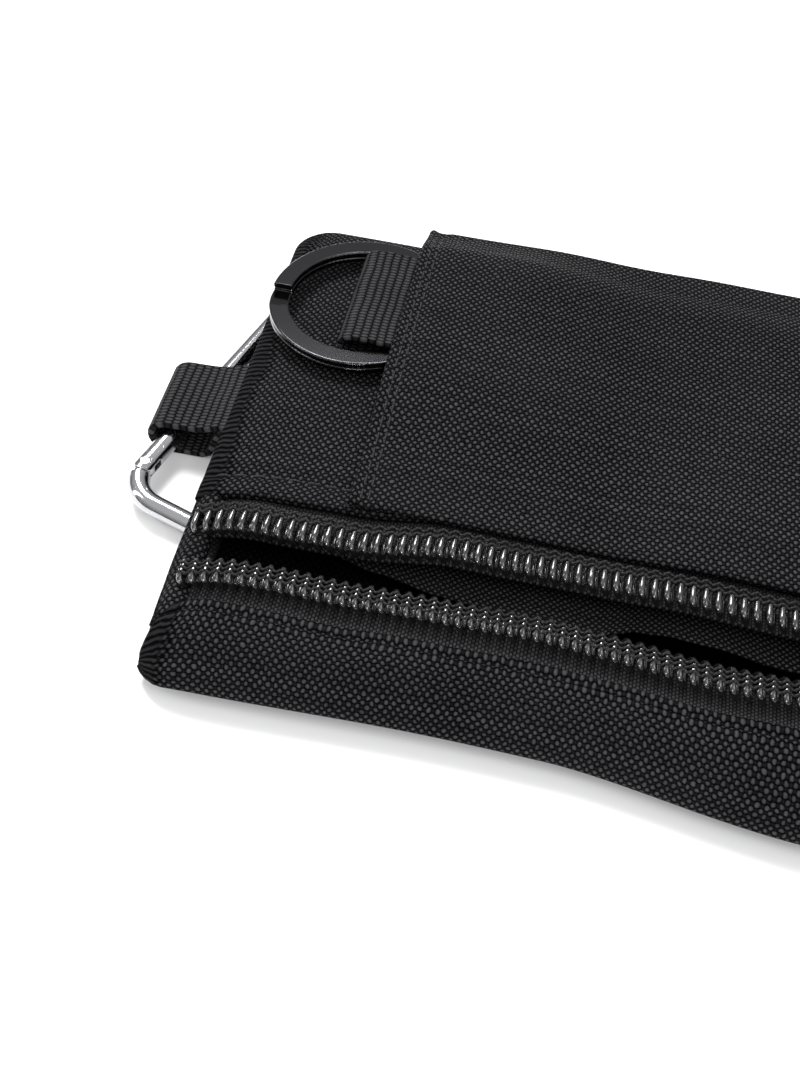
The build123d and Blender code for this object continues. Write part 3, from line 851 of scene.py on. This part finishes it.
# ---------------------------------------------------------------- webbing
def webbing_piece(name, path, width, y, thickness, material, replaces, rounding=0.35):
    """Flat strip along (x, z) path points; rounded long edges."""
    half = width / 2
    vs = [(-half, 0.0)] + [(-half + 0.25, 0.0)] + [(v, 0.0) for v in spaced(-half + 0.7, half - 0.7, 0.9)]
    vs += [(half - 0.25, 0.0), (half, 0.0)]

    def place(u, v):
        return (u[0], y + v[0], u[1])

    ob = dress(lay(name, path, vs, place), material, replaces=[replaces])
    thicken(ob, thickness, offset=0.0)
    bev = ob.modifiers.new("edge", "BEVEL")
    bev.width = rounding * thickness * MM
    bev.segments = 2
    bev.limit_method = "ANGLE"
    bev.angle_limit = math.radians(50)
    length = sum(math.dist(a, b) for a, b in zip(path, path[1:]))


def half_turn(x, z, radius, first=0):
    """(x, z) points round a bight that opens toward +X, from its underside to its top."""
    return [(x - radius * math.sin(math.pi * k / 12), z - radius * math.cos(math.pi * k / 12))
            for k in range(first, 13)]


ring_path = [(-26, 10.55)] + [(x, 10.5) for x in spaced(-28, -49, 1.5)]
ring_path += half_turn(-50.75, 12.12, 1.62)
ring_path += [(x, 13.74 + 0.1 * math.sin(x)) for x in spaced(-49, -36, 1.3)]
ring_path += [(-34.5, 13.3), (-33, 12.6), (-31.5, 11.9), (-30, 11.5), (-26, 11.45)]
webbing_piece("ring_strap", ring_path, 19.5, 21.0, 0.8, WEBBING, "ring_webbing")

loop_path = [(-62.6, 6.25), (-64.2, 6.0), (-65.4, 5.4), (-66.2, 4.2), (-66.8, 2.4), (-67.4, 1.1), (-68.4, 0.62)]
loop_path += [(x, 0.58) for x in spaced(-69.5, -73.2, 1.0)]
loop_path += half_turn(-73.2, 2.92, 2.34, first=1)
loop_path += [(-71.8, 5.3), (-70.2, 5.35), (-68.6, 5.5), (-67.2, 5.9), (-66.0, 6.4), (-64.6, 6.75),
              (-62.6, 6.8)]
webbing_piece("side_loop", loop_path, 12.7, 3.0, 1.0, WEBBING, "side_webbing")


# ---------------------------------------------------------------- stitching
def stitch_line(name, points, surface, pitch=2.4, length=1.75, radius=0.17, replaces=()):
    """Separate stitches that come up, lie on the cloth and dive again."""
    verts, faces, uvs = [], [], []
    seg = [0.0]
    for a, b in zip(points, points[1:]):
        seg.append(seg[-1] + math.dist(a, b))
    total = seg[-1]

    def at(d):
        d = clamp(d, 0, total)
        for i in range(len(seg) - 1):
            if d <= seg[i + 1] or i == len(seg) - 2:
                t = (d - seg[i]) / max(seg[i + 1] - seg[i], 1e-9)
                return tuple(lerp(p, q, t) for p, q in zip(points[i], points[i + 1]))

    for k in range(int(total / pitch)):
        s0 = k * pitch + RNG.uniform(-0.08, 0.08)
        path = []
        for j in range(9):
            t = j / 8
            x, y = at(s0 + t * length)
            bulge = math.sin(math.pi * t) ** 0.5
            path.append((x + RNG.uniform(-0.01, 0.01), y, surface(x, y) + 0.16 * bulge - 0.18 * (1 - bulge)))
        add_tube(verts, faces, uvs, path, radius, 6)
    dress(mesh_object(name, verts, faces, uvs), THREAD, replaces=replaces)


stitch_line("hem_stitches", [(-63, STITCH_UP), (62, STITCH_UP)],
            lambda x, y: front_z(x, y) + stitch_dimple(0) + 0.08, replaces=["upper_hem_stitch"])


def pocket_top(x, y):
    z = pocket_z(x, y) - smooth(POCKET_Y + 6, POCKET_Y, y) * POCKET_SINK
    for off in POCKET_STITCH:
        z += stitch_dimple(x - (POCKET_X + off), 0.55, 0.22)
    return z


for name, offset, replaced in (("pocket_hem_stitches", POCKET_STITCH[0], ["pocket_hem_stitch"]),
                               ("pocket_hem_stitches_inner", POCKET_STITCH[1], ())):
    stitch_line(name, [(POCKET_X + offset, -15), (POCKET_X + offset, 41)], pocket_top, replaces=replaced)
# zigzag that holds the webbing down inside the pocket
tack_path = [(-28.6 if k % 2 else -27.2, 12.5 + k * 17.0 / 14, 12.05) for k in range(15)]
dress(tube("strap_tack", tack_path, 0.18, 6), THREAD, replaces=["webbing_tack"])

# ---------------------------------------------------------------- metal parts keep their CAD shapes
FINISH = {"split_ring": RING_METAL, "carabiner_body": STEEL, "carabiner_gate": STEEL, "gate_pin": STEEL,
          "gate_spring": STEEL, "slider_body": SLIDER_METAL, "slider_bail": SLIDER_METAL,
          "pull_tab": SLIDER_METAL}
for node, material in FINISH.items():
    ob = NODES[node]
    if not ob.material_slots:
        ob.data.materials.append(material)
    for slot in ob.material_slots:
        slot.material = material

# ---------------------------------------------------------------- table, light and camera
me = bpy.data.meshes.new("table")
me.from_pydata([(-3, -3, 0), (3, -3, 0), (3, 3, 0), (-3, 3, 0)], [], [(0, 1, 2, 3)])
floor = bpy.data.objects.new("table", me)
bpy.context.scene.collection.objects.link(floor)
s = Shade("table_white")
s.set(color=(0.93, 0.93, 0.93, 1), rough=0.6, spec=0.3)
me.materials.append(s.m)

world = bpy.data.worlds.new("studio")
bpy.context.scene.world = world
world.use_nodes = True
wt = world.node_tree
sky = wt.nodes.new("ShaderNodeTexCoord")
split = wt.nodes.new("ShaderNodeSeparateXYZ")
ramp = wt.nodes.new("ShaderNodeValToRGB")
wt.links.new(sky.outputs["Generated"], split.inputs[0])
wt.links.new(split.outputs[2], ramp.inputs[0])
wt.links.new(ramp.outputs[0], wt.nodes["Background"].inputs[0])
ramp.color_ramp.elements[0].position = 0.05
ramp.color_ramp.elements[0].color = (0.16, 0.16, 0.17, 1)
ramp.color_ramp.elements[1].position = 0.75
ramp.color_ramp.elements[1].color = (1, 1, 1, 1)
wt.nodes["Background"].inputs[1].default_value = 0.75
bpy.context.scene.view_settings.view_transform = "Standard"


def area_light(name, loc, target, size, power):
    data = bpy.data.lights.new(name, "AREA")
    data.shape = "RECTANGLE"
    data.size, data.size_y = size
    data.energy = power
    ob = bpy.data.objects.new(name, data)
    ob.location = loc
    ob.rotation_euler = (Vector(target) - Vector(loc)).to_track_quat("-Z", "Y").to_euler()
    bpy.context.scene.collection.objects.link(ob)


area_light("key", (-0.30, 0.45, 0.75), (0, 0, 0), (0.35, 0.30), 9.8)
area_light("fill", (0.5, -0.35, 0.8), (0, 0, 0), (0.6, 0.6), 2.4)
area_light("front", (-0.12, -0.60, 0.26), (-0.02, -0.02, 0), (0.25, 0.10), 1.6)
area_light("left_strip", (-0.7, -0.1, 0.35), (-0.03, 0, 0), (0.1, 0.6), 1.2)

AZ, EL, ROLL, DIST, FOCAL = 7.3, 50.0, 5.3, 0.175, 1345.0
az, el = math.radians(AZ), math.radians(EL)
target = Vector((-38.2, -14.0, 5.0)) * MM
back_dir = Vector((math.sin(az) * math.cos(el), -math.cos(az) * math.cos(el), math.sin(el)))
cam_data = bpy.data.cameras.new("camera")
cam_data.sensor_fit = "HORIZONTAL"
cam_data.sensor_width = 36.0
cam_data.lens = FOCAL / 800.0 * 36.0
cam_data.clip_start = 0.01
cam = bpy.data.objects.new("camera", cam_data)
bpy.context.scene.collection.objects.link(cam)
cam.location = target + back_dir * DIST
right = Vector((math.cos(az), math.sin(az), 0))
up = right.cross(-back_dir)
roll = math.radians(ROLL)
r2 = right * math.cos(roll) + up * math.sin(roll)
u2 = -right * math.sin(roll) + up * math.cos(roll)
cam.matrix_world = Matrix(((r2.x, u2.x, back_dir.x, cam.location.x), (r2.y, u2.y, back_dir.y, cam.location.y),
                           (r2.z, u2.z, back_dir.z, cam.location.z), (0, 0, 0, 1)))
bpy.context.scene.camera = cam

bpy.context.view_layer.update()
